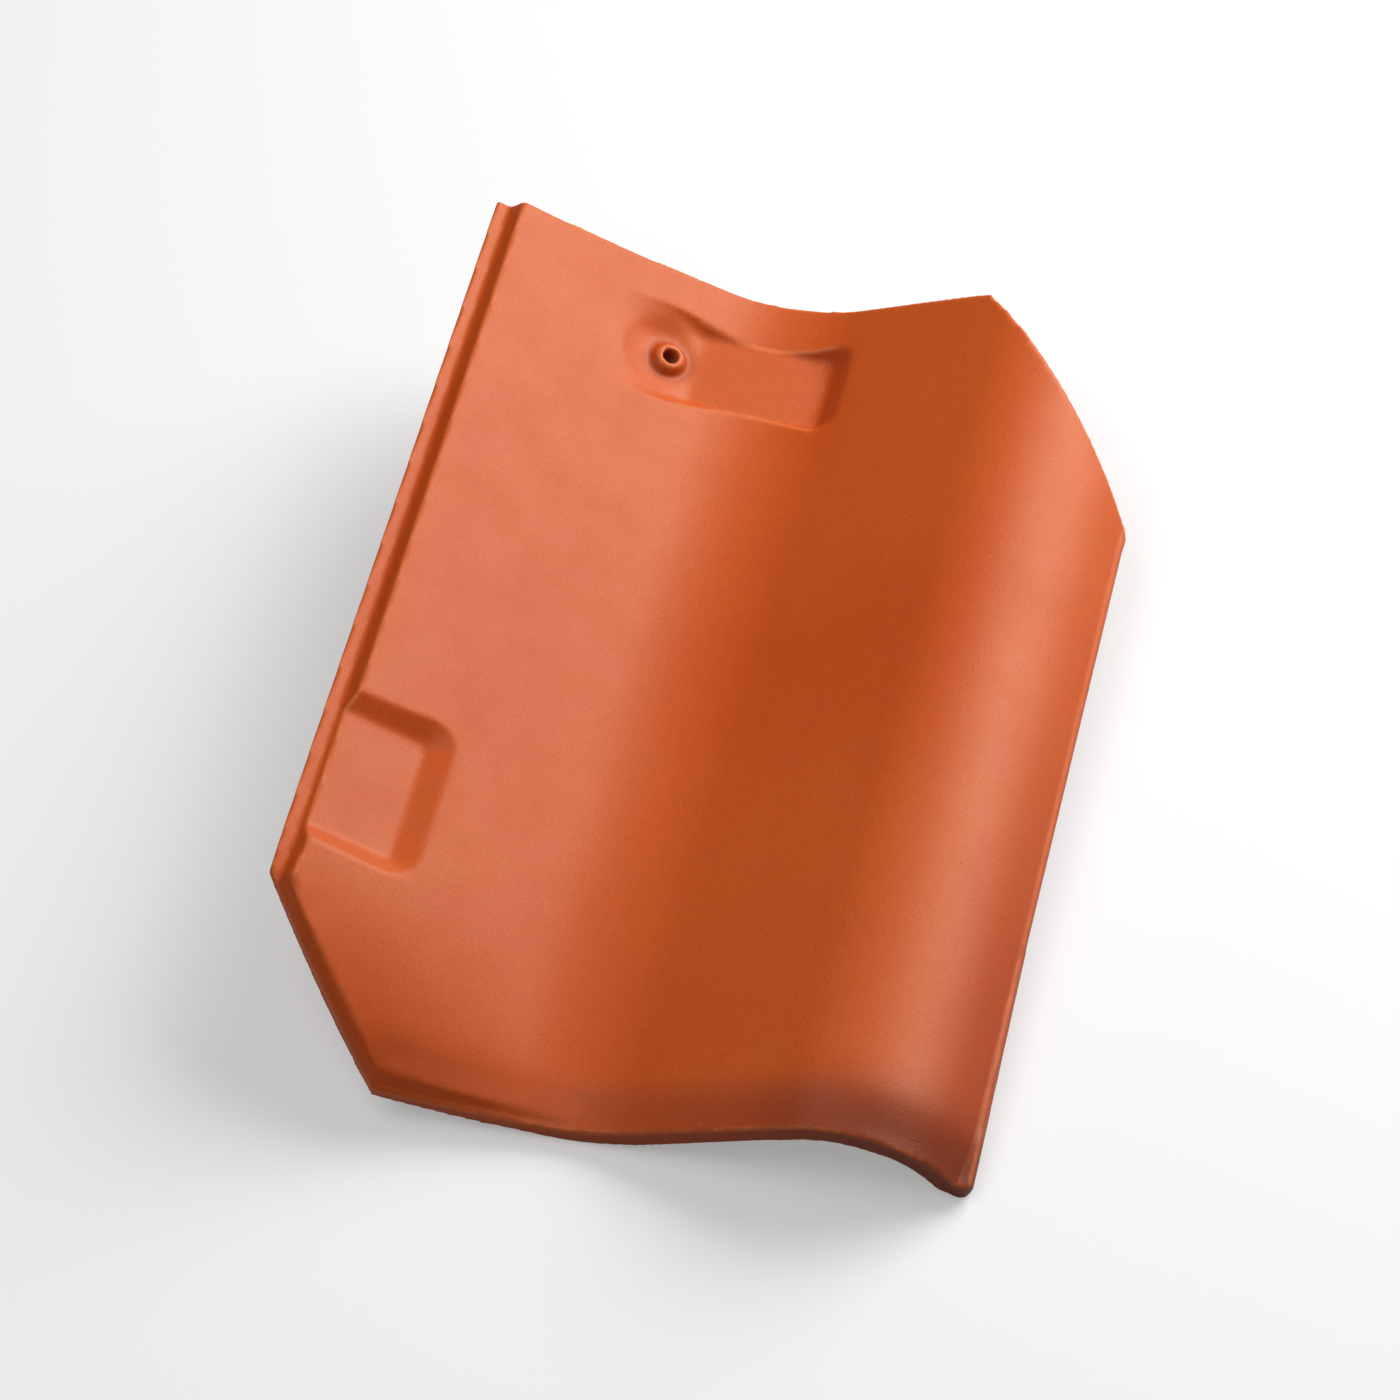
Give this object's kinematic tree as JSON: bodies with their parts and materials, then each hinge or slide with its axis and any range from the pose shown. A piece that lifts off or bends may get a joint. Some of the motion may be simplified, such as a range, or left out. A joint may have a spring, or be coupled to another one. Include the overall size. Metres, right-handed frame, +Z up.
{
  "type": "clay roof tile",
  "caption": "Pressed red clay pantile of S section with cut corners, a sunk side ledge, a clip recess, a nail hole and a hanging nib.",
  "frame": {"origin": "middle of the tile's box, on the floor that it lies on", "axes": "+Y along the tile from foot to head, +X across it from the pan to the roll, +Z up from the floor"},
  "size_m": [0.2489, 0.3514, 0.077],
  "materials": {
    "fired_clay": "matt unglazed fired red clay"
  },
  "bodies": {
    "root": {"tile": "fired_clay"}
  },
  "joints": []
}
